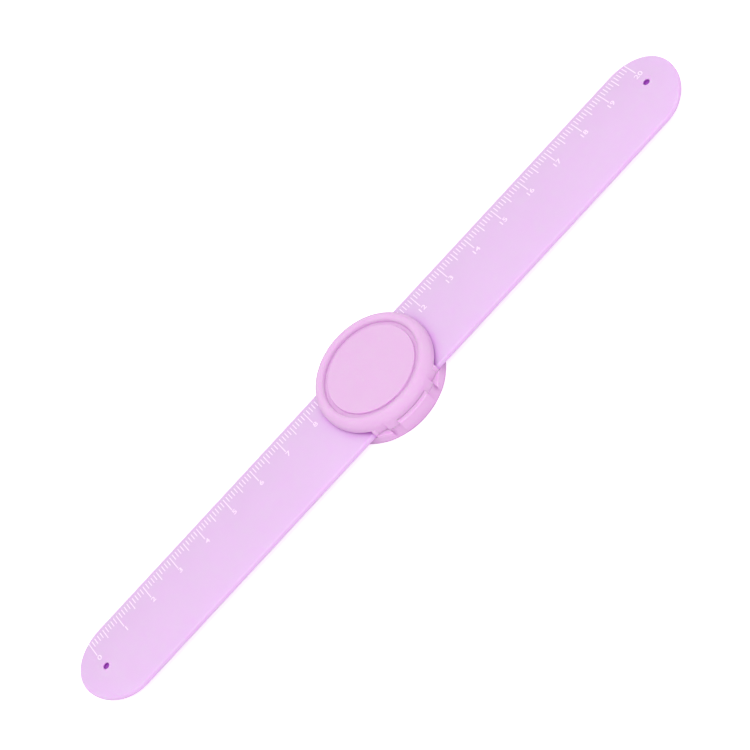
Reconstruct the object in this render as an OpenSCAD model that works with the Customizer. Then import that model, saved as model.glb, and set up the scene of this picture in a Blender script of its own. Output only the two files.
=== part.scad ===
// Slap bracelet with a ruler strap and a round clip-on case, shown snapped out straight.
// X runs along the strap, Y towards the ruler's edge and Z up from the case's flat underside.

/* [Strap] */
// Length of the silicone sleeve, tip to tip
strap_l = 215; // [205:1:225]
// Width of the silicone sleeve
strap_w = 24.2; // [23.8:0.1:24.4]
// Thickness of the sleeve with the spring inside
strap_t = 1.6; // [1.5:0.1:1.8]
// How much higher the middle of the strap stands than its two edges
crown_h = 1.6; // [1.2:0.1:1.8]

/* [Spring strip] */
// Width of the steel strip
strip_w = 19; // [16:0.5:20]
// Thickness of the steel strip
strip_t = 0.3; // [0.2:0.05:0.3]
// Distance from the sleeve's tip to the strip's tip
strip_inset = 4; // [3:0.5:5]

/* [Locating holes] */
// Diameter of the two holes that reach the strip
hole_d = 1.75; // [1.2:0.05:2.4]
// Distance from the sleeve's tip to the hole's centre
hole_inset = 7.7; // [7:0.1:12]

/* [Case] */
// Diameter of the case's wall
case_d = 33.4; // [33.2:0.1:33.6]
// Wall thickness of both halves
wall_t = 1.8; // [1.6:0.1:2]
// Height of the strap's crown above the underside
crest_z = 6.5; // [6.4:0.1:6.7]
// Height of the top disc
disc_z = 9.45; // [9.35:0.05:9.6]
// Diameter of the top disc, at the groove's inner wall
disc_d = 25.3; // [25:0.1:25.5]
// Depth of the groove below the disc
groove_h = 0.75; // [0.6:0.05:0.9]
// Height where the wall starts to roll inwards
shoulder_z = 7.65; // [7.55:0.05:7.75]
// Radius of the wide roll on the outside of the ring
outer_roll = 2.8; // [2.7:0.1:2.9]
// Radius of the tight roll between the ring's crest and the groove
inner_roll = 1.2; // [1.15:0.05:1.25]

/* [Latches] */
// Height of the seam between the two halves
seam_z = 4.6; // [4.4:0.1:4.7]
// How far the tabs and ledges stand out from the wall
latch_reach = 1.3; // [1:0.05:1.6]
// Width of the tab in the middle of each side
tab_w = 10.1; // [8:0.1:12]
// Height of the tab's top
tab_z = 6.55; // [6:0.05:6.6]
// Distance between the inner ends of the two ledges
ledge_in = 15.8; // [15.4:0.1:17]
// Distance between the outer ends of the two ledges
ledge_out = 22.6; // [22:0.1:23]

/* [Hidden] */
$fn = 96;

// Running clearance between pieces, and the overshoot of every cut
gap = 0.1;
over = 1;

// The strap's cross-section: arcs about one line parallel to X
half_w = strap_w / 2;
crown_r = (half_w * half_w + crown_h * crown_h) / (2 * crown_h);
under_r = crown_r - strap_t;
pocket_h = strip_t + 2 * gap;
skin_t = (strap_t - pocket_h) / 2;

// The case
case_r = case_d / 2;
cavity_r = case_r - wall_t;
foot_edge = 0.5;
floor_t = 1.4;
plate_t = 1.6;
rib_x = 6.9;
rib_t = 1.4;

// The top disc and the groove round it
disc_r = disc_d / 2;
disc_edge = 0.25;
groove_z = disc_z - groove_h;

// The ring: its wide roll runs into the tight one where both lean 3 out for 4 up
lean = [0.6, 0.8];
wide_centre = [case_r - outer_roll, shoulder_z];
tight_centre = wide_centre + (outer_roll - inner_roll) * lean;
meet_r = wide_centre.x + outer_roll * lean.x;
groove_r = tight_centre.x - inner_roll;

// The slot that the strap passes through, and the cheeks beside it
slot_half = half_w + gap;
lip_z = crest_z + gap;
cheek_t = 0.9;
cheek_y = slot_half + cheek_t;

// How steeply the room above the ledges opens: its ceiling rises this much for each step outwards
notch_rise = 2.4;

// The latches on the base
latch_r = case_r + latch_reach;
latch_low = 1.95;
latch_bevel = 1.2;
latch_edge = 0.35;

// Far enough from the middle to clear the whole case
deck = 30;

// A round bar along X about the crown line
module crown_bar(r, length) {
    translate([0, 0, crest_z - crown_r])
        rotate([0, 90, 0])
            cylinder(r = r, h = length, center = true, $fn = 360);
}

// A plank with round ends, standing from the floor
module round_ended(length, width) {
    linear_extrude(height = 2 * crest_z)
        union() {
            square([length - width, width], center = true);
            for (side = [-1, 1])
                translate([side * (length - width) / 2, 0])
                    circle(d = width);
        }
}

// A curved band between two arcs, cut to a round-ended outline
module band(r_out, r_in, length, width) {
    intersection() {
        difference() {
            crown_bar(r_out, length + over);
            crown_bar(r_in, length + 2 * over);
        }
        round_ended(length, width);
    }
}

// The silicone sleeve, with its pocket for the strip and two holes in its face
module strap_sleeve() {
    pocket_l = strap_l - 2 * strip_inset + 2 * gap;
    color([0.92, 0.78, 0.95])
        difference() {
            band(crown_r, under_r, strap_l, strap_w);
            band(crown_r - skin_t, under_r + skin_t, pocket_l, strip_w + 2 * gap);
            for (side = [-1, 1])
                translate([side * (strap_l / 2 - hole_inset), 0, crest_z - skin_t - gap])
                    cylinder(d = hole_d, h = over + skin_t);
        }
}

// The curved spring-steel strip inside the sleeve
module spring_strip() {
    color([0.30, 0.26, 0.42])
        band(crown_r - skin_t - gap, under_r + skin_t + gap, strap_l - 2 * strip_inset, strip_w);
}

// A box given by its two corners
module block(low, high) {
    translate(low)
        cube(high - low);
}

// A rectangle given by its two corners
module square_from(low, high) {
    translate(low)
        square(high - low);
}

// Half of the cap's outline, to be turned about Z: skirt, disc, groove and rolled ring
module cap_profile(low) {
    union() {
        square_from([0, low], [case_r, shoulder_z]);
        square_from([0, low], [meet_r, groove_z]);
        square_from([0, low], [disc_r - disc_edge, disc_z]);
        square_from([0, low], [disc_r, disc_z - disc_edge]);
        translate([disc_r - disc_edge, disc_z - disc_edge])
            circle(r = disc_edge);
        square_from([groove_r, low], [meet_r, tight_centre.y]);
        intersection() {
            translate(tight_centre)
                circle(r = inner_roll);
            square_from([0, low], [meet_r, deck]);
        }
        intersection() {
            translate(wide_centre)
                circle(r = outer_roll);
            square_from([meet_r, low], [deck, deck]);
        }
    }
}

// The room that the strap needs between the cap's ribs
module strap_room() {
    intersection() {
        crown_bar(crown_r + gap, 2 * deck);
        block([-deck, -slot_half, -over], [deck, slot_half, deck]);
    }
}

// The upper half: disc, groove, ring, skirt, cheeks and two clamping ribs
module case_cap() {
    low = seam_z + gap;
    color([0.90, 0.72, 0.90])
        difference() {
            union() {
                difference() {
                    rotate_extrude()
                        cap_profile(low);
                    translate([0, 0, -over])
                        cylinder(r = cavity_r, h = disc_z - plate_t + over);
                    block([-deck, -slot_half, -over], [deck, slot_half, lip_z]);
                }
                clamping_ribs(low);
                cheeks(low);
            }
            notches(low);
        }
}

// Two bars across the cap that follow the strap's crown
module clamping_ribs(low) {
    difference() {
        for (side = [-1, 1])
            block([side * rib_x - rib_t / 2, -cavity_r + gap, low],
                  [side * rib_x + rib_t / 2, cavity_r - gap, disc_z - plate_t + gap]);
        strap_room();
    }
}

// Straight walls beside the slot, out to the ledges' ends
module cheeks(low) {
    for (side = [-1, 1])
        block([-ledge_out / 2, side < 0 ? -cheek_y : slot_half, low],
              [ledge_out / 2, side < 0 ? -slot_half : cheek_y, lip_z + gap]);
}

// Room above the ledges, outside the straight walls, under a ceiling that rises steeply outwards
module notches(low) {
    for (x = [-1, 1], y = [-1, 1])
        scale([x, y, 1])
            translate([ledge_in / 2, 0, 0])
                rotate([90, 0, 90])
                    linear_extrude(height = deck)
                        polygon([
                            [cheek_y, -over],
                            [cheek_y, low],
                            [deck, low + notch_rise * (deck - cheek_y)],
                            [deck, -over]
                        ]);
}

// Half of the base's outline, to be turned about Z: upright wall and rounded foot
module base_profile() {
    union() {
        square_from([0, 0], [case_r - foot_edge, crest_z]);
        square_from([0, foot_edge], [case_r, crest_z]);
        translate([case_r - foot_edge, foot_edge])
            circle(r = foot_edge);
    }
}

// A drum of the latches' outer radius, bevelled below and rounded at its top edge
module latch_drum(z_high) {
    rotate_extrude()
        union() {
            polygon([
                [0, latch_low],
                [latch_r - latch_bevel, latch_low],
                [latch_r, latch_low + latch_bevel],
                [latch_r, z_high - latch_edge],
                [0, z_high - latch_edge]
            ]);
            square_from([0, latch_low], [latch_r - latch_edge, z_high]);
            translate([latch_r - latch_edge, z_high - latch_edge])
                circle(r = latch_edge);
        }
}

// The tabs in the middle of each side and the three-cornered ledges beside them
module latches() {
    root = case_r - wall_t / 2;
    intersection() {
        latch_drum(tab_z);
        union() {
            block([-tab_w / 2, root, 0], [tab_w / 2, deck, tab_z + over]);
            block([-tab_w / 2, -deck, 0], [tab_w / 2, -root, tab_z + over]);
        }
    }
    intersection() {
        latch_drum(seam_z);
        for (x = [-1, 1], y = [-1, 1])
            scale([x, y, 1])
                linear_extrude(height = seam_z + over)
                    polygon([
                        [ledge_in / 2, slot_half],
                        [ledge_out / 2, slot_half],
                        [ledge_out / 2, cheek_y],
                        [ledge_in / 2, cheek_y + (ledge_out - ledge_in) / 2]
                    ]);
    }
}

// The lower half: foot, wall, ribs, tabs and ledges
module case_base() {
    color([0.88, 0.70, 0.88])
        difference() {
            union() {
                rotate_extrude()
                    base_profile();
                latches();
            }
            difference() {
                translate([0, 0, floor_t])
                    cylinder(r = cavity_r, h = deck);
                for (side = [-1, 1])
                    block([side * rib_x - rib_t / 2, -deck, 0],
                          [side * rib_x + rib_t / 2, deck, crest_z]);
            }
            // the strap's bed
            difference() {
                union() {
                    block([-deck, -slot_half, 0], [deck, slot_half, deck]);
                    block([ledge_out / 2, -deck, 0], [deck, deck, deck]);
                    block([-deck, -deck, 0], [-ledge_out / 2, deck, deck]);
                }
                crown_bar(under_r - gap, 3 * deck);
            }
            // the seam with the cap, inside the tabs
            translate([0, 0, seam_z])
                cylinder(r = case_r + gap, h = deck);
        }
}

strap_sleeve();
spring_strip();
case_cap();
case_base();
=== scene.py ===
"""Slap bracelet with a printed ruler and a round clip-on case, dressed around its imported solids."""

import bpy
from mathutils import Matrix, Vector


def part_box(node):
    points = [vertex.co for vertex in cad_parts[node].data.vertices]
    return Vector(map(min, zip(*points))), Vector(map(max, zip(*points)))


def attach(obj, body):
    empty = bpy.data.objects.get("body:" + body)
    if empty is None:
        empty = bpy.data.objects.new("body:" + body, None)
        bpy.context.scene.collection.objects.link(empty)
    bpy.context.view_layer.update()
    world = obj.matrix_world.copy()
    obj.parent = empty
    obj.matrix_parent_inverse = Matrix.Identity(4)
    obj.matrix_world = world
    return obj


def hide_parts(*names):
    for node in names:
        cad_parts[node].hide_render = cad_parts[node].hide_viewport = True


bl_info = {
    "name": "Slap Bracelet",
    "version": (1, 0, 0),
    "blender": (4, 5, 0),
    "location": "3D View > Sidebar > Bracelet",
    "description": "Builds a ruler slap bracelet with its clip-on case, its materials and its stage",
    "category": "Object",
}

import math

import bmesh
import bpy
from bpy.props import FloatProperty, FloatVectorProperty, IntProperty, PointerProperty
from bpy.types import Operator, Panel, PropertyGroup
from mathutils import Matrix, Vector
from mathutils.geometry import delaunay_2d_cdt

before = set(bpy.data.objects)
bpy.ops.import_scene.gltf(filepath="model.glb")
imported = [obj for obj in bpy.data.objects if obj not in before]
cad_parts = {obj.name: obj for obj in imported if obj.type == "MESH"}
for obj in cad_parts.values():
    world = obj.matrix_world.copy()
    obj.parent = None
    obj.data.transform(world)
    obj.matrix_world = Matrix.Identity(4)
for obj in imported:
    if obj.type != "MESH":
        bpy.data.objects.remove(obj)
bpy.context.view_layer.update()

MM = 0.001
STRAP_LOW, STRAP_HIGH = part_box("strap_sleeve")
STRIP_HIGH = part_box("spring_strip")[1]

# The strap's crown: arcs about one line along X, which rise this much over half the strap's width
CROWN_RISE = 1.6 * MM
STRAP_LENGTH = 2 * STRAP_HIGH.x
HALF_WIDTH = STRAP_HIGH.y
CREST = STRAP_HIGH.z
CROWN_RADIUS = (HALF_WIDTH ** 2 + CROWN_RISE ** 2) / (2 * CROWN_RISE)
UNDER_RADIUS = CROWN_RADIUS - (CREST - STRAP_LOW.z - CROWN_RISE)
CLEARANCE = 0.1 * MM

# The foot of the upper half's wall above a ledge's inner end, where X and Y are positive
LEDGE_CORNER = Vector((7.9, 13.1, 4.7)) * MM

# How finely the sleeve is divided: along a side, round an end, round a hole, and between its rows
SIDE_STEPS = 96
END_STEPS = 64
HOLE_STEPS = 40
EDGE_STEPS = 6
ROW = 1.1 * MM

# Rings of points round a hole, each wider than the last, and the ground they need, in hole radii
HOLE_RINGS = 10
RING_GROWTH = 1.125
HOLE_GROUND = 3.6

# The swelling round a hole, in hole radii: where it peaks, how wide it is, and where it turns down
RIM_PEAK = 1.43
RIM_WIDTH = 0.37
RIM_TURN = 1.2

# How far the swelling has turned down at the hole's edge, in rim heights
RIM_DROP = 1.2

# How many lengths a printed line is divided into, so that it bends with the sleeve
LINE_STEPS = 6

# The lines fall on to the sleeve along rays that start this high, in metres, and reach twice as far
RAY_START = 0.05

# Corners closer than this are one, and faces that turn by less than this are flat
WELD = 0.001 * MM
FLAT = math.radians(0.3)

# The case's edges that turn by more than this are rounded
SHARP = math.radians(30)

# The floor lies this far below the bracelet
FLOOR_DROP = 0.02 * MM

# The soft lights' places and the sides of their squares, in metres
KEY_PLACE = Vector((0.03, -0.36, 0.78))
KEY_SIZE = 0.6
SIDE_PLACE = Vector((-0.60, 0.35, 0.55))
SIDE_SIZE = 0.5

# The fitted camera: its angles in degrees, its distance in metres and the point it looks at
CAMERA_ELEVATION = 46.5
CAMERA_ROLL = 47.23
CAMERA_DISTANCE = 0.690
CAMERA_AIM = Vector((-0.43, 0, 6.5)) * MM

# The photograph's side and the fitted camera's focal length, both in pixels
PHOTO_SIDE = 750
FOCAL_PIXELS = 2750.0

# The width of the camera's sensor, in millimetres as Blender counts it
SENSOR = 36


def length_prop(name, description, default, **limits):
    """A setting that is a length, given in metres."""
    return FloatProperty(name=name, description=description, default=default,
                         precision=6, subtype="DISTANCE", unit="LENGTH", **limits)


def colour_prop(name, description, default):
    """A setting that is a colour, given as linear red, green and blue."""
    return FloatVectorProperty(name=name, description=description, default=default,
                               size=3, min=0, max=1, subtype="COLOR")


class StrapSettings(PropertyGroup):
    edge_round: length_prop(
        "Edge rounding", "Radius of the sleeve's rounded edges", 0.6 * MM, min=0.1 * MM, max=0.75 * MM)
    skin: length_prop("Skin", "Thickness of silicone above and below the spring strip", 0.55 * MM)
    hole_diameter: length_prop("Hole diameter", "Diameter of the two locating holes", 1.75 * MM)
    hole_inset: length_prop("Hole inset", "Distance from the strap's tip to a hole's centre", 7.7 * MM)
    rim_rise: length_prop("Rim height", "Height of the soft swelling round a hole", 0.1 * MM)
    colour: colour_prop("Silicone", "Colour of the silicone sleeve", (0.735, 0.505, 0.79))


class RulerSettings(PropertyGroup):
    centimetres: IntProperty(
        name="Centimetres", description="Length of the printed scale", default=20, min=1, max=21)
    shift: length_prop("Shift", "How far the scale lies from the strap's middle", 0.08 * MM)
    margin: length_prop("Margin", "Distance from the strap's edge to the lines", 1.64 * MM)
    line_width: length_prop("Line width", "Width of a printed line", 0.27 * MM)
    short_line: length_prop("Millimetre line", "Length of a millimetre's line", 2.54 * MM)
    middle_line: length_prop("Half line", "Length of a half centimetre's line", 4.03 * MM)
    long_line: length_prop("Centimetre line", "Length of a centimetre's line", 5.54 * MM)
    digit_gap: length_prop("Digit gap", "Distance from a line's end to its digits", 0.35 * MM)
    digit_height: length_prop("Digit height", "Height of a printed digit", 1.6 * MM)
    digit_stretch: FloatProperty(
        name="Digit stretch", description="How much wider the digits are than the plain font", default=1.12)
    digit_weight: FloatProperty(
        name="Digit weight", description="How far the font's strokes are thickened", default=0.012)
    single_shift: length_prop("Single shift", "How far a single digit stands right of its line", 0.18 * MM)
    ink_rise: length_prop("Ink thickness", "How far the ink stands above the silicone", 0.03 * MM)
    colour: colour_prop("Ink", "Colour of the printed scale", (0.99, 0.79, 1.0))


class CaseSettings(PropertyGroup):
    edge_round: length_prop("Edge rounding", "Width of the bevel along the case's moulded edges", 0.2 * MM)
    wall_swell: length_prop(
        "Wall swell", "How far the upper half's wall is filled out above the ledges' inner ends", 0.95 * MM)
    colour: colour_prop("Plastic", "Colour of the case's plastic", (0.735, 0.472, 0.73))


class StageSettings(PropertyGroup):
    floor_size: length_prop("Floor", "Side of the square floor", 4.0)
    floor_colour: colour_prop("Floor colour", "Colour of the floor", (0.95, 0.95, 0.95))
    floor_glow: FloatProperty(
        name="Floor glow", description="Light added to the floor as it is seen, which thins the shadows",
        default=0.6)
    bounce_colour: colour_prop(
        "Bounce colour", "Colour of the light that the floor throws on to the bracelet", (0.95, 0.8, 0.95))
    key_power: FloatProperty(
        name="Key light", description="Power of the soft light overhead", default=3.75, unit="POWER")
    side_share: FloatProperty(
        name="Side light", description="Power of the side light as a share of the key light's", default=0.06)
    room_light: FloatProperty(
        name="Room light", description="Strength of the even light from all round", default=0.77)


def crown_height(y, radius=CROWN_RADIUS):
    """Height of an arc of that radius about the crown's line, at a distance y from the middle."""
    return CREST - CROWN_RADIUS + math.sqrt(radius * radius - y * y)


def new_object(name, mesh):
    """Links a mesh object at the origin."""
    thing = bpy.data.objects.new(name, mesh)
    bpy.context.scene.collection.objects.link(thing)
    return thing


def mesh_from(name, bm, smooth=True):
    """Makes a mesh of a bmesh, with its faces turned outwards."""
    bmesh.ops.recalc_face_normals(bm, faces=bm.faces)
    mesh = bpy.data.meshes.new(name)
    bm.to_mesh(mesh)
    bm.free()
    for face in mesh.polygons:
        face.use_smooth = smooth
    return mesh


def evaluated_mesh(context, thing, fewest):
    """The mesh that an object's modifiers make; the object itself is removed."""
    context.view_layer.update()
    mesh = bpy.data.meshes.new_from_object(thing.evaluated_get(context.evaluated_depsgraph_get()))
    name = thing.name
    bpy.data.objects.remove(thing)
    if len(mesh.polygons) < fewest:
        raise RuntimeError(name + " came out with too few faces")
    return mesh


def finish_piece(name, mesh, replaced=None):
    """Makes a finished piece of a mesh, fixed to the bracelet's one body."""
    mesh.name = name
    piece = new_object(name, mesh)
    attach(piece, "root")
    if replaced:
        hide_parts(replaced)
    return piece


def round_ended(length, width, inset):
    """Plan points of a round-ended outline drawn in by an inset, anticlockwise from the lower left."""
    reach = length / 2 - width / 2
    radius = max(width / 2 - inset, 0)
    points = []
    for turn in (0, math.pi):
        side = math.cos(turn)
        for i in range(SIDE_STEPS):
            points.append(Vector((side * (-reach + 2 * reach * i / SIDE_STEPS), -side * radius)))
        for i in range(END_STEPS):
            a = turn - math.pi / 2 + math.pi * i / END_STEPS
            points.append(Vector((side * reach + radius * math.cos(a), radius * math.sin(a))))
    return points


def loft(bm, rings):
    """Joins closed rings of vertices of one count with quads."""
    for a, b in zip(rings, rings[1:]):
        n = len(a)
        for i in range(n):
            j = (i + 1) % n
            bm.faces.new((a[i], a[j], b[j], b[i]))


def node_group(name, inputs, outputs):
    """An empty shader node group with its sockets."""
    group = bpy.data.node_groups.new(name, "ShaderNodeTree")
    for label, kind, value in inputs:
        socket = group.interface.new_socket(name=label, in_out="INPUT", socket_type=kind)
        socket.default_value = value
    for label, kind in outputs:
        group.interface.new_socket(name=label, in_out="OUTPUT", socket_type=kind)
    return group, group.nodes.new("NodeGroupInput"), group.nodes.new("NodeGroupOutput")


def add(tree, kind, **values):
    """Adds a node and sets its attributes, or its inputs where the key starts with in_."""
    node = tree.nodes.new(kind)
    for key, value in values.items():
        if key.startswith("in_"):
            node.inputs[key[3:].replace("_", " ")].default_value = value
        else:
            setattr(node, key, value)
    return node


def moulded_group():
    """Moulded surface colour, roughness and height: clouds, grain, rare pits, painted shade in hollows."""
    name = "moulded_surface"
    if name in bpy.data.node_groups:
        return bpy.data.node_groups[name]
    group, given, out = node_group(name, [
        ("Colour", "NodeSocketColor", (0.8, 0.5, 0.8, 1)),
        ("Cloud Colour", "NodeSocketColor", (0.75, 0.45, 0.78, 1)),
        ("Clouding", "NodeSocketFloat", 0.3),
        ("Cloud Scale", "NodeSocketFloat", 60.0),
        ("Grain Scale", "NodeSocketFloat", 3000.0),
        ("Gloss", "NodeSocketFloat", 0.4),
        ("Gloss Spread", "NodeSocketFloat", 0.1),
        ("Painted Shade Colour", "NodeSocketColor", (0.9, 0.45, 0.95, 1)),
        ("Recess Reach", "NodeSocketFloat", 2.5 * MM),
        ("Recess Depth", "NodeSocketFloat", 0.0),
    ], [("Colour", "NodeSocketColor"), ("Roughness", "NodeSocketFloat"), ("Height", "NodeSocketFloat")])
    link = group.links.new
    place = add(group, "ShaderNodeTexCoord")
    cloud = add(group, "ShaderNodeTexNoise", in_Detail=3.0, in_Roughness=0.55)
    link(place.outputs["Object"], cloud.inputs["Vector"])
    link(given.outputs["Cloud Scale"], cloud.inputs["Scale"])
    shaped = add(group, "ShaderNodeMapRange", in_From_Min=0.3, in_From_Max=0.7)
    link(cloud.outputs["Fac"], shaped.inputs["Value"])
    amount = add(group, "ShaderNodeMath", operation="MULTIPLY")
    link(shaped.outputs["Result"], amount.inputs[0])
    link(given.outputs["Clouding"], amount.inputs[1])
    tint = add(group, "ShaderNodeMix", data_type="RGBA")
    link(amount.outputs[0], tint.inputs["Factor"])
    link(given.outputs["Colour"], tint.inputs["A"])
    link(given.outputs["Cloud Colour"], tint.inputs["B"])
    # painted shade: darker, deeper purple where ambient occlusion finds a groove, a slot or a corner
    open_share = add(group, "ShaderNodeAmbientOcclusion", samples=8)
    link(given.outputs["Recess Reach"], open_share.inputs["Distance"])
    closed = add(group, "ShaderNodeMapRange", in_From_Min=0.85, in_From_Max=0.25)
    link(open_share.outputs["AO"], closed.inputs["Value"])
    depth = add(group, "ShaderNodeMath", operation="MULTIPLY")
    link(closed.outputs["Result"], depth.inputs[0])
    link(given.outputs["Recess Depth"], depth.inputs[1])
    painted_shade = add(group, "ShaderNodeMix", data_type="RGBA", blend_type="MULTIPLY")
    link(depth.outputs[0], painted_shade.inputs["Factor"])
    link(tint.outputs["Result"], painted_shade.inputs["A"])
    link(given.outputs["Painted Shade Colour"], painted_shade.inputs["B"])
    grain = add(group, "ShaderNodeTexNoise", in_Detail=2.0, in_Roughness=0.6)
    link(place.outputs["Object"], grain.inputs["Vector"])
    link(given.outputs["Grain Scale"], grain.inputs["Scale"])
    # the pits lie much further apart than the grains
    pit_scale = add(group, "ShaderNodeMath", operation="MULTIPLY")
    pit_scale.inputs[1].default_value = 0.12
    link(given.outputs["Grain Scale"], pit_scale.inputs[0])
    pits = add(group, "ShaderNodeTexVoronoi", feature="F1")
    link(place.outputs["Object"], pits.inputs["Vector"])
    link(pit_scale.outputs[0], pits.inputs["Scale"])
    pit = add(group, "ShaderNodeMapRange", in_From_Min=0.02, in_From_Max=0.09)
    link(pits.outputs["Distance"], pit.inputs["Value"])
    relief = add(group, "ShaderNodeMath", operation="MULTIPLY")
    link(grain.outputs["Fac"], relief.inputs[0])
    link(pit.outputs["Result"], relief.inputs[1])
    rough = add(group, "ShaderNodeMath", operation="MULTIPLY_ADD")
    link(cloud.outputs["Fac"], rough.inputs[0])
    link(given.outputs["Gloss Spread"], rough.inputs[1])
    link(given.outputs["Gloss"], rough.inputs[2])
    link(painted_shade.outputs["Result"], out.inputs["Colour"])
    link(rough.outputs[0], out.inputs["Roughness"])
    link(relief.outputs[0], out.inputs["Height"])
    return group


def moulded_material(name, colour, cloud_share, shader_values, bump, **surface_values):
    """A moulded material: the shared surface group feeds a Principled shader."""
    material = bpy.data.materials.new(name)
    material.use_nodes = True
    tree = material.node_tree
    shader = tree.nodes["Principled BSDF"]
    for key, value in shader_values.items():
        shader.inputs[key].default_value = value
    surface = add(tree, "ShaderNodeGroup")
    surface.node_tree = moulded_group()
    surface.inputs["Colour"].default_value = (*colour, 1)
    surface.inputs["Cloud Colour"].default_value = (*(part * cloud_share for part in colour), 1)
    for key, value in surface_values.items():
        surface.inputs[key.replace("_", " ").title()].default_value = value
    dent = add(tree, "ShaderNodeBump", in_Strength=bump, in_Distance=0.02 * MM)
    tree.links.new(surface.outputs["Height"], dent.inputs["Height"])
    tree.links.new(surface.outputs["Colour"], shader.inputs["Base Color"])
    tree.links.new(surface.outputs["Roughness"], shader.inputs["Roughness"])
    tree.links.new(dent.outputs["Normal"], shader.inputs["Normal"])
    return material


def silicone(colour):
    """Soft lavender silicone, slightly see-through at its edges."""
    # painted shade darkens the sleeve wherever other surfaces lie within 5 mm: near the case, in the holes
    return moulded_material(
        "soft_lavender_silicone", colour, 0.94,
        {"Specular IOR Level": 0.35, "Subsurface Weight": 0.5, "Subsurface Scale": 1.0 * MM,
         "Subsurface Radius": (1.0, 0.3, 1.0)},
        0.35, clouding=0.35, cloud_scale=55.0, grain_scale=2600.0, gloss=0.42, gloss_spread=0.12,
        recess_reach=5.0 * MM, recess_depth=1.0)


def case_plastic(colour):
    """Satin orchid plastic, moulded with a fine grain."""
    # a light painted shade darkens the case in its grooves, slots and corners
    return moulded_material(
        "satin_orchid_plastic", colour, 0.95,
        {"Specular IOR Level": 0.2, "Subsurface Weight": 0.5, "Subsurface Scale": 0.9 * MM,
         "Subsurface Radius": (1.0, 0.3, 1.0)},
        0.25, clouding=0.3, cloud_scale=70.0, grain_scale=2200.0, gloss=0.5, gloss_spread=0.1,
        recess_depth=0.15)


def printed_ink(colour):
    """Matte white print, a little thin in places."""
    name = "white_print"
    if name in bpy.data.materials:
        return bpy.data.materials[name]
    return moulded_material(
        name, colour, 0.93, {"Specular IOR Level": 0.3},
        0.2, clouding=0.6, cloud_scale=900.0, grain_scale=6000.0, gloss=0.5, gloss_spread=0.15)


def spring_steel():
    """Spring steel, brushed along the strip; its violet is painted shade and purple bounce light."""
    material = bpy.data.materials.new("violet_spring_steel")
    material.use_nodes = True
    tree = material.node_tree
    shader = tree.nodes["Principled BSDF"]
    shader.inputs["Metallic"].default_value = 0.35
    place = add(tree, "ShaderNodeTexCoord")
    stretch = add(tree, "ShaderNodeMapping")
    stretch.inputs["Scale"].default_value = (20, 9000, 400)  # long along X, fine across
    streak = add(tree, "ShaderNodeTexNoise", in_Scale=1.0, in_Detail=3.0)
    tone_noise = add(tree, "ShaderNodeTexNoise", in_Scale=90.0, in_Detail=2.0)
    # both violets are painted shade and purple bounce light, as seen down the holes; the noise varies them
    # at random
    tint = add(tree, "ShaderNodeValToRGB")
    tint.color_ramp.elements[0].color = (0.30, 0.05, 0.42, 1)
    tint.color_ramp.elements[1].color = (0.42, 0.09, 0.58, 1)
    rough = add(tree, "ShaderNodeMapRange", in_To_Min=0.35, in_To_Max=0.55)
    dent = add(tree, "ShaderNodeBump", in_Strength=0.3, in_Distance=0.01 * MM)
    link = tree.links.new
    link(place.outputs["Object"], stretch.inputs["Vector"])
    link(stretch.outputs["Vector"], streak.inputs["Vector"])
    link(place.outputs["Object"], tone_noise.inputs["Vector"])
    link(tone_noise.outputs["Fac"], tint.inputs["Fac"])
    link(tint.outputs["Color"], shader.inputs["Base Color"])
    link(streak.outputs["Fac"], rough.inputs["Value"])
    link(rough.outputs["Result"], shader.inputs["Roughness"])
    link(streak.outputs["Fac"], dent.inputs["Height"])
    link(dent.outputs["Normal"], shader.inputs["Normal"])
    return material


def pale_floor(s):
    """A white floor that glows a little where it is seen, and throws a tinted light on the bracelet."""
    material = bpy.data.materials.new("pale_floor")
    material.use_nodes = True
    tree = material.node_tree
    seen = tree.nodes["Principled BSDF"]
    seen.inputs["Base Color"].default_value = (*s.floor_colour, 1)
    seen.inputs["Roughness"].default_value = 0.9
    seen.inputs["Specular IOR Level"].default_value = 0.1
    seen.inputs["Emission Color"].default_value = (1, 1, 1, 1)
    seen.inputs["Emission Strength"].default_value = s.floor_glow
    thrown = add(tree, "ShaderNodeBsdfDiffuse", in_Color=(*s.bounce_colour, 1))
    ray = add(tree, "ShaderNodeLightPath")
    mix = add(tree, "ShaderNodeMixShader")
    link = tree.links.new
    link(ray.outputs["Is Camera Ray"], mix.inputs["Fac"])
    link(thrown.outputs["BSDF"], mix.inputs[1])
    link(seen.outputs["BSDF"], mix.inputs[2])
    link(mix.outputs["Shader"], tree.nodes["Material Output"].inputs["Surface"])
    return material


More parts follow.
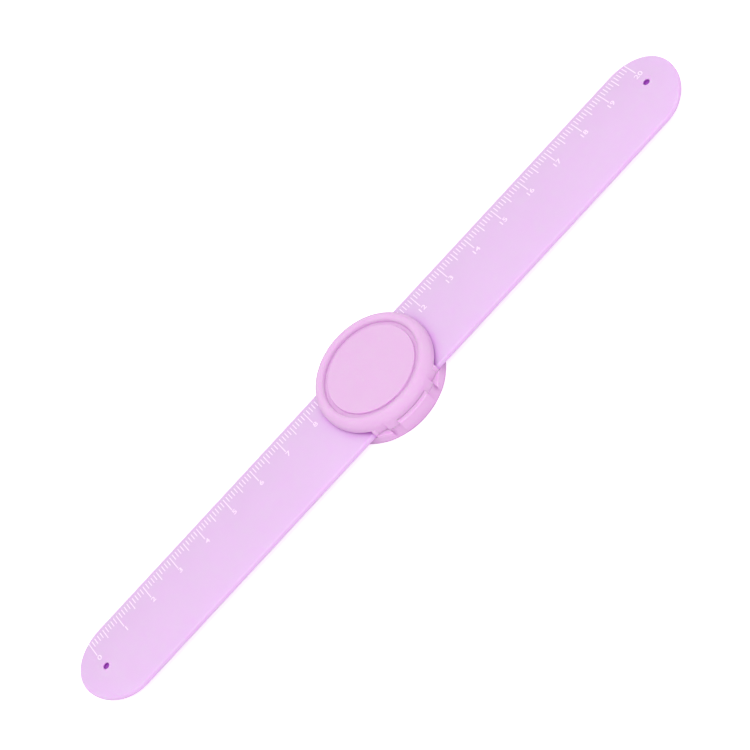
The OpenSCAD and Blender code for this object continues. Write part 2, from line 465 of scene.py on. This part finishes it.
class BRACELET_OT_sleeve(Operator):
    """Builds the silicone sleeve: crowned, with rounded edges, a closed pocket and two rimmed holes"""
    bl_idname = "bracelet.sleeve"
    bl_label = "Silicone Sleeve"

    def execute(self, context):
        s = context.scene.bracelet_strap
        width, edge, hole_r = 2 * HALF_WIDTH, s.edge_round, s.hole_diameter / 2
        holes = [Vector((side * (STRAP_LENGTH / 2 - s.hole_inset), 0)) for side in (-1, 1)]
        bm = bmesh.new()
        top = self.sheet(bm, STRAP_LENGTH, width, edge, CROWN_RADIUS, holes, hole_r, s.rim_rise)
        low = self.sheet(bm, STRAP_LENGTH, width, edge, UNDER_RADIUS, [], 0, 0)
        self.edge_wall(bm, width, edge, top["rim"], low["rim"])
        # the pocket round the spring strip, joined to the outside by the holes' walls
        length, width = 2 * (STRIP_HIGH.x + CLEARANCE), 2 * (STRIP_HIGH.y + CLEARANCE)
        roof = self.sheet(bm, length, width, 0, CROWN_RADIUS - s.skin, holes, hole_r, 0)
        bed = self.sheet(bm, length, width, 0, UNDER_RADIUS + s.skin, [], 0, 0)
        loft(bm, [roof["rim"], bed["rim"]])
        for mouth, inner in zip(top["holes"], roof["holes"]):
            loft(bm, [mouth, inner])
        mesh = mesh_from("silicone_sleeve", bm)
        mesh.materials.append(silicone(tuple(s.colour)))
        finish_piece("silicone_sleeve", mesh, replaced="strap_sleeve")
        return {"FINISHED"}

    def sheet(self, bm, length, width, edge, radius, holes, hole_r, rise):
        """A crowned sheet with round ends and holes, whose rim lies where the edge's rounding starts."""
        coords = round_ended(length, width, edge)
        n = len(coords)
        edges = [(i, (i + 1) % n) for i in range(n)]
        mouths = []
        for hole in holes:
            start = len(coords)
            mouths.append(range(start, start + HOLE_STEPS))
            edges += [(start + i, start + (i + 1) % HOLE_STEPS) for i in range(HOLE_STEPS)]
            coords += self.hole_points(hole, hole_r)
        coords += [p for p in self.field(length, width, edge)
                   if all((p - hole).length > HOLE_GROUND * hole_r for hole in holes)]
        flat, _, faces, sources, _, _ = delaunay_2d_cdt(coords, edges, [], 0, 1e-9)
        home = {j: i for i, origin in enumerate(sources) for j in origin}
        verts = []
        for p in flat:
            swelling = sum(self.rim((p - hole).length / hole_r) for hole in holes)
            verts.append(bm.verts.new((p.x, p.y, crown_height(p.y, radius) + rise * swelling)))
        for face in faces:
            middle = sum((flat[i] for i in face), Vector((0, 0))) / len(face)
            if all((middle - hole).length > hole_r for hole in holes):
                bm.faces.new([verts[i] for i in face])
        return {"rim": [verts[home[i]] for i in range(n)],
                "holes": [[verts[home[i]] for i in mouth] for mouth in mouths]}

    @staticmethod
    def hole_points(hole, hole_r):
        """Rings of points from a hole's edge outwards."""
        points = []
        for ring in range(HOLE_RINGS):
            radius = hole_r * RING_GROWTH ** ring
            for i in range(HOLE_STEPS):
                a = 2 * math.pi * (i + 0.5) / HOLE_STEPS
                points.append(hole + Vector((radius * math.cos(a), radius * math.sin(a))))
        return points

    @staticmethod
    def field(length, width, edge):
        """Points that fill a sheet inside its rim, in rows drawn in from it."""
        points = []
        inset = edge + ROW / 2
        while inset < width / 2 - ROW / 4:
            points += round_ended(length, width, inset)
            inset += ROW
        reach = length / 2 - width / 2
        points += [Vector((reach * (2 * i / SIDE_STEPS - 1), 0)) for i in range(SIDE_STEPS + 1)]
        return points

    @staticmethod
    def rim(r):
        """Height of the swelling round a hole for a distance in hole radii; its inner edge turns down."""
        swelling = math.exp(-((r - RIM_PEAK) / RIM_WIDTH) ** 2)
        turned = max(RIM_TURN - r, 0) / (RIM_TURN - 1)
        return swelling - RIM_DROP * turned ** 2

    @staticmethod
    def edge_wall(bm, width, edge, top_rim, low_rim):
        """The rounded edge between the upper and the lower sheet."""
        rings = [top_rim]
        quarter = [math.pi / 2 * k / EDGE_STEPS for k in range(1, EDGE_STEPS + 1)]
        for radius, sign, angles in ((CROWN_RADIUS, -1, quarter), (UNDER_RADIUS, 1, reversed(quarter))):
            for a in angles:
                inset, rise = edge * (1 - math.sin(a)), sign * edge * (1 - math.cos(a))
                outline = round_ended(STRAP_LENGTH, width, inset)
                rim = round_ended(STRAP_LENGTH, width, edge)
                rings.append([bm.verts.new((p.x, p.y, crown_height(q.y, radius) + rise))
                              for p, q in zip(outline, rim)])
        rings.append(low_rim)
        loft(bm, rings)


class BRACELET_OT_spring(Operator):
    """Gives the spring strip its steel, whose violet is painted shade and purple bounce light"""
    bl_idname = "bracelet.spring"
    bl_label = "Spring Strip"

    def execute(self, context):
        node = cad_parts["spring_strip"]
        node.data.materials.clear()
        node.data.materials.append(spring_steel())
        return {"FINISHED"}


class BRACELET_OT_ruler_lines(Operator):
    """Prints the ruler's lines along the strap's far edge, with Geometry Nodes"""
    bl_idname = "bracelet.ruler_lines"
    bl_label = "Ruler Lines"

    def execute(self, context):
        s = context.scene.bracelet_ruler
        tree = self.lines_tree(printed_ink(tuple(s.colour)))
        carrier = new_object("lines_carrier", bpy.data.meshes.new("lines_carrier"))
        modifier = carrier.modifiers.new("ruler", "NODES")
        modifier.node_group = tree
        values = {
            "Count": s.centimetres * 10 + 1, "Line Width": s.line_width, "Short": s.short_line,
            "Middle": s.middle_line, "Long": s.long_line, "Top": HALF_WIDTH - s.margin,
            "Shift": s.shift, "Rise": s.ink_rise, "Sleeve": bpy.data.objects["silicone_sleeve"],
        }
        for socket in tree.interface.items_tree:
            if socket.in_out == "INPUT" and socket.name in values:
                modifier[socket.identifier] = values[socket.name]
        finish_piece("ruler_lines", evaluated_mesh(context, carrier, fewest=1000))
        return {"FINISHED"}

    @staticmethod
    def lines_tree(ink):
        """Places a thin bar at every millimetre, long at each centimetre, and lays it on the sleeve."""
        tree = bpy.data.node_groups.new("ruler_scale", "GeometryNodeTree")
        socket = tree.interface.new_socket
        socket(name="Geometry", in_out="INPUT", socket_type="NodeSocketGeometry")
        socket(name="Count", in_out="INPUT", socket_type="NodeSocketInt")
        for label in ("Line Width", "Short", "Middle", "Long", "Top", "Shift", "Rise"):
            socket(name=label, in_out="INPUT", socket_type="NodeSocketFloat")
        socket(name="Sleeve", in_out="INPUT", socket_type="NodeSocketObject")
        socket(name="Geometry", in_out="OUTPUT", socket_type="NodeSocketGeometry")
        given, out = tree.nodes.new("NodeGroupInput"), tree.nodes.new("NodeGroupOutput")
        link = tree.links.new

        def maths(operation, a, b):
            node = add(tree, "ShaderNodeMath", operation=operation)
            for slot, value in zip(node.inputs, (a, b)):
                if isinstance(value, (int, float)):
                    slot.default_value = value
                else:
                    link(value, slot)
            return node.outputs[0]

        # one point for each millimetre, from the scale's middle outwards
        points = add(tree, "GeometryNodeMeshLine", mode="OFFSET")
        points.inputs["Offset"].default_value = (MM, 0, 0)
        link(given.outputs["Count"], points.inputs["Count"])
        half = maths("MULTIPLY", maths("SUBTRACT", given.outputs["Count"], 1), -0.5 * MM)
        start = add(tree, "ShaderNodeCombineXYZ")
        link(maths("ADD", half, given.outputs["Shift"]), start.inputs["X"])
        link(given.outputs["Top"], start.inputs["Y"])
        link(start.outputs[0], points.inputs["Start Location"])

        # a bar of unit length, hanging below its own point
        bar = add(tree, "GeometryNodeMeshCube")
        bar.inputs["Vertices Y"].default_value = LINE_STEPS + 1
        size = add(tree, "ShaderNodeCombineXYZ")
        size.inputs["Y"].default_value = 1.0
        link(given.outputs["Line Width"], size.inputs["X"])
        link(given.outputs["Rise"], size.inputs["Z"])
        link(size.outputs[0], bar.inputs["Size"])
        hang = add(tree, "GeometryNodeTransform")
        hang.inputs["Translation"].default_value = (0, -0.5, 0)
        link(bar.outputs["Mesh"], hang.inputs["Geometry"])

        # its length by the line's number
        index = tree.nodes.new("GeometryNodeInputIndex").outputs[0]
        tenth = maths("COMPARE", maths("MODULO", index, 10), 0)
        fifth = maths("COMPARE", maths("MODULO", index, 5), 0)
        for node in (tenth.node, fifth.node):
            node.inputs[2].default_value = 0.1  # how far from zero still counts as zero
        middle = maths("MULTIPLY", fifth, maths("SUBTRACT", given.outputs["Middle"], given.outputs["Short"]))
        long = maths("MULTIPLY", tenth, maths("SUBTRACT", given.outputs["Long"], given.outputs["Middle"]))
        scale = add(tree, "ShaderNodeCombineXYZ")
        scale.inputs["X"].default_value = 1.0
        scale.inputs["Z"].default_value = 1.0
        link(maths("ADD", given.outputs["Short"], maths("ADD", middle, long)), scale.inputs["Y"])
        place = add(tree, "GeometryNodeInstanceOnPoints")
        link(points.outputs["Mesh"], place.inputs["Points"])
        link(hang.outputs["Geometry"], place.inputs["Instance"])
        link(scale.outputs[0], place.inputs["Scale"])
        real = add(tree, "GeometryNodeRealizeInstances")
        link(place.outputs["Instances"], real.inputs["Geometry"])

        # laid on the sleeve: each corner falls on to the surface and keeps its height above it
        target = add(tree, "GeometryNodeObjectInfo", transform_space="RELATIVE")
        link(given.outputs["Sleeve"], target.inputs["Object"])
        corner = add(tree, "ShaderNodeSeparateXYZ")
        link(tree.nodes.new("GeometryNodeInputPosition").outputs[0], corner.inputs[0])
        above = add(tree, "ShaderNodeCombineXYZ")
        above.inputs["Z"].default_value = RAY_START
        fall = add(tree, "GeometryNodeRaycast")
        fall.inputs["Ray Direction"].default_value = (0, 0, -1)
        fall.inputs["Ray Length"].default_value = 2 * RAY_START
        link(target.outputs["Geometry"], fall.inputs["Target Geometry"])
        link(above.outputs[0], fall.inputs["Source Position"])
        landed = add(tree, "ShaderNodeSeparateXYZ")
        link(fall.outputs["Hit Position"], landed.inputs[0])
        lifted = add(tree, "ShaderNodeCombineXYZ")
        for axis in ("X", "Y"):
            link(corner.outputs[axis], above.inputs[axis])
            link(corner.outputs[axis], lifted.inputs[axis])
        link(maths("ADD", landed.outputs["Z"], corner.outputs["Z"]), lifted.inputs["Z"])
        lay = add(tree, "GeometryNodeSetPosition")
        link(real.outputs["Geometry"], lay.inputs["Geometry"])
        link(lifted.outputs[0], lay.inputs["Position"])
        coat = add(tree, "GeometryNodeSetMaterial")
        coat.inputs["Material"].default_value = ink
        link(lay.outputs["Geometry"], coat.inputs["Geometry"])
        link(coat.outputs["Geometry"], out.inputs["Geometry"])
        return tree


class BRACELET_OT_ruler_digits(Operator):
    """Prints the ruler's digits under its centimetre lines"""
    bl_idname = "bracelet.ruler_digits"
    bl_label = "Ruler Digits"

    def execute(self, context):
        s = context.scene.bracelet_ruler
        bm = bmesh.new()
        base = HALF_WIDTH - s.margin - s.long_line - s.digit_gap - s.digit_height
        for n in range(s.centimetres + 1):
            glyph = self.number(context, str(n), s.digit_weight)
            tall = max(v.co.y for v in glyph.vertices)
            low = min(v.co.x for v in glyph.vertices)
            high = max(v.co.x for v in glyph.vertices)
            scale = s.digit_height / tall
            x = (n - s.centimetres / 2) * 10 * MM + s.shift + (s.single_shift if n < 10 else 0)
            for v in glyph.vertices:
                v.co.x = x + (v.co.x - (low + high) / 2) * scale * s.digit_stretch
                v.co.y = base + v.co.y * scale
                v.co.z = crown_height(v.co.y) + math.copysign(s.ink_rise / 2, v.co.z)
            bm.from_mesh(glyph)
            bpy.data.meshes.remove(glyph)
        bmesh.ops.remove_doubles(bm, verts=bm.verts, dist=0.1 * s.ink_rise)
        mesh = mesh_from("ruler_digits", bm, smooth=False)
        mesh.materials.append(printed_ink(tuple(s.colour)))
        finish_piece("ruler_digits", mesh)
        return {"FINISHED"}

    @staticmethod
    def number(context, words, weight):
        """A solid number as a mesh, upright in the XY plane."""
        curve = bpy.data.curves.new("number", "FONT")
        curve.body = words
        curve.offset = weight
        curve.extrude = 0.01
        curve.resolution_u = 4
        thing = bpy.data.objects.new("number", curve)
        context.scene.collection.objects.link(thing)
        mesh = evaluated_mesh(context, thing, fewest=6)
        bpy.data.curves.remove(curve)
        return mesh


class BRACELET_OT_case(Operator):
    """Finishes the case's two halves: their solids with rounded edges, in satin plastic"""
    bl_idname = "bracelet.case"
    bl_label = "Case"

    def execute(self, context):
        s = context.scene.bracelet_case
        plastic = case_plastic(tuple(s.colour))
        for node, name in (("case_cap", "case_upper_half"), ("case_base", "case_lower_half")):
            half = new_object(name, self.merged(node, s.wall_swell))
            bevel = half.modifiers.new("edges", "BEVEL")
            bevel.width = s.edge_round
            bevel.segments = 2
            bevel.limit_method = "ANGLE"
            bevel.angle_limit = SHARP
            bevel.harden_normals = True
            half.modifiers.new("shading", "WEIGHTED_NORMAL").keep_sharp = True
            mesh = evaluated_mesh(context, half, fewest=1000)
            mesh.materials.append(plastic)
            finish_piece(name, mesh, replaced=node)
        return {"FINISHED"}

    @classmethod
    def merged(cls, node, swell):
        """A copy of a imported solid's mesh with its corners merged and its flat faces joined."""
        bm = bmesh.new()
        bm.from_mesh(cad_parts[node].data)
        bmesh.ops.remove_doubles(bm, verts=bm.verts, dist=WELD)
        bmesh.ops.dissolve_limit(bm, angle_limit=FLAT, verts=bm.verts, edges=bm.edges)
        cls.fill_wall(bm, swell)
        return mesh_from(node + "_merged", bm)

    @staticmethod
    def fill_wall(bm, swell):
        """Draws the wall out above each ledge's inner end. Only the upper half has such a corner."""
        for foot in [v for v in bm.verts if (Vector(map(abs, v.co)) - LEDGE_CORNER).length < CLEARANCE]:
            for face in [f for f in foot.link_faces if abs(f.normal.y) > math.cos(math.pi / 4)]:
                corners = list(face.verts)
                start = corners.index(foot)
                corners = corners[start + 1:] + corners[:start]
                bm.faces.remove(face)
                for a, b in zip(corners, corners[1:]):
                    bm.faces.new((foot, a, b))
            foot.co.y += math.copysign(swell, foot.co.y)


class BRACELET_OT_stage(Operator):
    """Lays the pale floor, hangs the soft lights and sets the camera at the photograph's angle"""
    bl_idname = "bracelet.stage"
    bl_label = "Stage"

    def execute(self, context):
        s = context.scene.bracelet_stage
        self.floor(s)
        self.lights(context, s)
        self.camera(context)
        view = context.scene.view_settings
        view.view_transform = "Standard"
        view.look = "None"
        return {"FINISHED"}

    @staticmethod
    def floor(s):
        """A flat floor just under the bracelet."""
        bm = bmesh.new()
        bmesh.ops.create_grid(bm, x_segments=2, y_segments=2, size=s.floor_size / 2)
        mesh = mesh_from("floor", bm, smooth=False)
        mesh.materials.append(pale_floor(s))
        floor = new_object("floor", mesh)
        floor.location.z = -FLOOR_DROP

    @staticmethod
    def lights(context, s):
        """Even white light from all round, a large soft light overhead and a weak one at the side."""
        world = bpy.data.worlds.new("white_room")
        world.use_nodes = True
        back = world.node_tree.nodes["Background"]
        back.inputs["Color"].default_value = (1, 1, 1, 1)
        back.inputs["Strength"].default_value = s.room_light
        context.scene.world = world
        for name, place, size, power in (
                ("overhead", KEY_PLACE, KEY_SIZE, s.key_power),
                ("side", SIDE_PLACE, SIDE_SIZE, s.side_share * s.key_power)):
            light = bpy.data.lights.new(name, "AREA")
            light.energy = power
            light.size = size
            lamp = bpy.data.objects.new(name, light)
            lamp.location = place
            lamp.rotation_euler = (-place).to_track_quat("-Z", "Y").to_euler()
            context.scene.collection.objects.link(lamp)

    @staticmethod
    def camera(context):
        """A camera square to the strap's length, raised and rolled as the photograph's was."""
        elevation, roll = math.radians(CAMERA_ELEVATION), math.radians(CAMERA_ROLL)
        ahead = Vector((0, math.cos(elevation), -math.sin(elevation)))
        level = Vector((1, 0, 0))
        upright = level.cross(ahead)
        right = level * math.cos(roll) - upright * math.sin(roll)
        up = level * math.sin(roll) + upright * math.cos(roll)
        place = Matrix((right, up, -ahead)).transposed().to_4x4()
        place.translation = CAMERA_AIM - ahead * CAMERA_DISTANCE
        lens = bpy.data.cameras.new("camera")
        lens.sensor_fit = "HORIZONTAL"
        lens.sensor_width = SENSOR
        lens.lens = SENSOR * FOCAL_PIXELS / PHOTO_SIDE
        lens.clip_start = 0.01
        lens.clip_end = 20
        camera = bpy.data.objects.new("camera", lens)
        context.scene.collection.objects.link(camera)
        camera.matrix_world = place
        context.scene.camera = camera


class BRACELET_PT_panel(Panel):
    """Lists the bracelet's sizes and colours, and the steps that build it"""
    bl_idname = "BRACELET_PT_panel"
    bl_label = "Slap Bracelet"
    bl_space_type = "VIEW_3D"
    bl_region_type = "UI"
    bl_category = "Bracelet"

    def draw(self, context):
        for title, owner, settings, steps in GROUPS:
            box = self.layout.box()
            box.label(text=title)
            values = getattr(context.scene, owner)
            for name in settings.__annotations__:
                box.prop(values, name)
            for step in steps:
                box.operator(step.bl_idname)


GROUPS = (
    ("Strap", "bracelet_strap", StrapSettings, (BRACELET_OT_sleeve, BRACELET_OT_spring)),
    ("Ruler", "bracelet_ruler", RulerSettings, (BRACELET_OT_ruler_lines, BRACELET_OT_ruler_digits)),
    ("Case", "bracelet_case", CaseSettings, (BRACELET_OT_case,)),
    ("Stage", "bracelet_stage", StageSettings, (BRACELET_OT_stage,)),
)


def register():
    for _, owner, settings, steps in GROUPS:
        bpy.utils.register_class(settings)
        setattr(bpy.types.Scene, owner, PointerProperty(type=settings))
        for step in steps:
            bpy.utils.register_class(step)
    bpy.utils.register_class(BRACELET_PT_panel)


def unregister():
    bpy.utils.unregister_class(BRACELET_PT_panel)
    for _, owner, settings, steps in GROUPS:
        for step in steps:
            bpy.utils.unregister_class(step)
        delattr(bpy.types.Scene, owner)
        bpy.utils.unregister_class(settings)


def main():
    register()
    bpy.ops.bracelet.stage()
    bpy.ops.bracelet.sleeve()
    bpy.ops.bracelet.spring()
    bpy.ops.bracelet.ruler_lines()
    bpy.ops.bracelet.ruler_digits()
    bpy.ops.bracelet.case()


if __name__ == "__main__":
    main()
